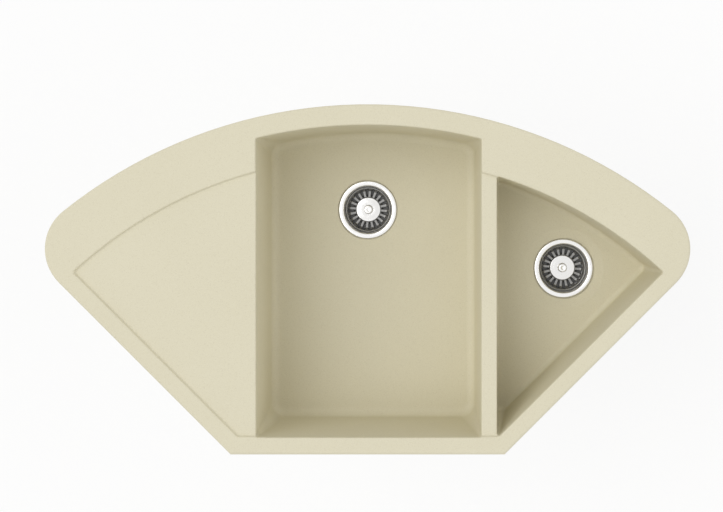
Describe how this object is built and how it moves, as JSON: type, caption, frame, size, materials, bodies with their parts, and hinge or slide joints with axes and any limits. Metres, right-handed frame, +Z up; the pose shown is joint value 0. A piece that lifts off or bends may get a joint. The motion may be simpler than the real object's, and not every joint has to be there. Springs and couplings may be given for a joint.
{
  "type": "corner kitchen sink",
  "caption": "Corner inset kitchen sink in cream granite composite, a sector in plan with drainer, large bowl and three-cornered small bowl, with strainer wastes, trap and clips.",
  "frame": {"origin": "on the underside of the rim where it rests on the worktop, at the middle of the front edge's seat", "axes": "+X to the right along the longest side, +Y back into the corner of the room, +Z up"},
  "size_m": [1.0596, 0.5749, 0.5445],
  "materials": {
    "composite": "matte cream granite composite",
    "strainer_steel": "satin stainless steel",
    "knob_chrome": "polished",
    "rubber": "black rubber",
    "foam": "grey foam tape",
    "white_plastic": "white polypropylene",
    "nut_plastic": "light grey polypropylene",
    "clip_steel": "zinc plated",
    "brass": "plain"
  },
  "bodies": {
    "sink": {"branch_cone_washer": "rubber", "branch_slip_nut": "nut_plastic", "clip_inserts": "brass", "clip_screws": "clip_steel", "link_pipe": "white_plastic", "main_centre_screw": "strainer_steel", "main_cone_washer": "rubber", "main_flange_gasket": "rubber", "main_floor_gasket": "rubber", "main_slip_nut": "nut_plastic", "main_strainer_cup": "strainer_steel", "main_waste_body": "white_plastic", "outlet_cone_washer": "rubber", "outlet_pipe": "white_plastic", "outlet_slip_nut": "nut_plastic", "rim_seal": "foam", "sink_body": "composite", "small_centre_screw": "strainer_steel", "small_cone_washer": "rubber", "small_flange_gasket": "rubber", "small_floor_gasket": "rubber", "small_slip_nut": "nut_plastic", "small_strainer_cup": "strainer_steel", "small_waste_body": "white_plastic", "tee_pipe": "white_plastic", "trap_body": "white_plastic", "trap_cone_washer": "rubber", "trap_dip_tube": "white_plastic", "trap_slip_nut": "nut_plastic"},
    "main_basket_unit": {"main_basket": "strainer_steel", "main_basket_knob": "knob_chrome", "main_basket_stopper": "rubber"},
    "small_basket_unit": {"small_basket": "strainer_steel", "small_basket_knob": "knob_chrome", "small_basket_stopper": "rubber"},
    "trap_cup_unit": {"trap_cup": "white_plastic", "trap_cup_seal": "rubber"},
    "claw_1": {"clip_claw_1": "clip_steel"},
    "claw_2": {"clip_claw_2": "clip_steel"},
    "claw_3": {"clip_claw_3": "clip_steel"},
    "claw_4": {"clip_claw_4": "clip_steel"},
    "claw_5": {"clip_claw_5": "clip_steel"},
    "claw_6": {"clip_claw_6": "clip_steel"},
    "claw_7": {"clip_claw_7": "clip_steel"},
    "claw_8": {"clip_claw_8": "clip_steel"}
  },
  "joints": [
    {"name": "main_basket_lift", "type": "slide", "parent": "sink", "child": "main_basket_unit", "axis": [0, 0, 1], "range_m": [0, 0.25]},
    {"name": "small_basket_lift", "type": "slide", "parent": "sink", "child": "small_basket_unit", "axis": [0, 0, 1], "range_m": [0, 0.25]},
    {"name": "trap_cup_unscrew", "type": "slide", "parent": "sink", "child": "trap_cup_unit", "axis": [0, 0, -1], "range_m": [0, 0.08]},
    {"name": "claw_1_swing", "type": "hinge", "parent": "sink", "child": "claw_1", "pos_m": [-0.13, 0.007, -0.0355], "axis": [0, 0, 1], "range_deg": [0, 90]},
    {"name": "claw_2_swing", "type": "hinge", "parent": "sink", "child": "claw_2", "pos_m": [0.13, 0.007, -0.0355], "axis": [0, 0, 1], "range_deg": [0, 90]},
    {"name": "claw_3_swing", "type": "hinge", "parent": "sink", "child": "claw_3", "pos_m": [0.34224, 0.13087, -0.0355], "axis": [0, 0, 1], "range_deg": [0, 90]},
    {"name": "claw_4_swing", "type": "hinge", "parent": "sink", "child": "claw_4", "pos_m": [0.392, 0.44496, -0.0355], "axis": [0, 0, 1], "range_deg": [0, 90]},
    {"name": "claw_5_swing", "type": "hinge", "parent": "sink", "child": "claw_5", "pos_m": [0.13614, 0.53809, -0.0355], "axis": [0, 0, 1], "range_deg": [0, 90]},
    {"name": "claw_6_swing", "type": "hinge", "parent": "sink", "child": "claw_6", "pos_m": [-0.13614, 0.53809, -0.0355], "axis": [0, 0, 1], "range_deg": [0, 90]},
    {"name": "claw_7_swing", "type": "hinge", "parent": "sink", "child": "claw_7", "pos_m": [-0.392, 0.44496, -0.0355], "axis": [0, 0, 1], "range_deg": [0, 90]},
    {"name": "claw_8_swing", "type": "hinge", "parent": "sink", "child": "claw_8", "pos_m": [-0.34224, 0.13087, -0.0355], "axis": [0, 0, 1], "range_deg": [0, 90]}
  ]
}
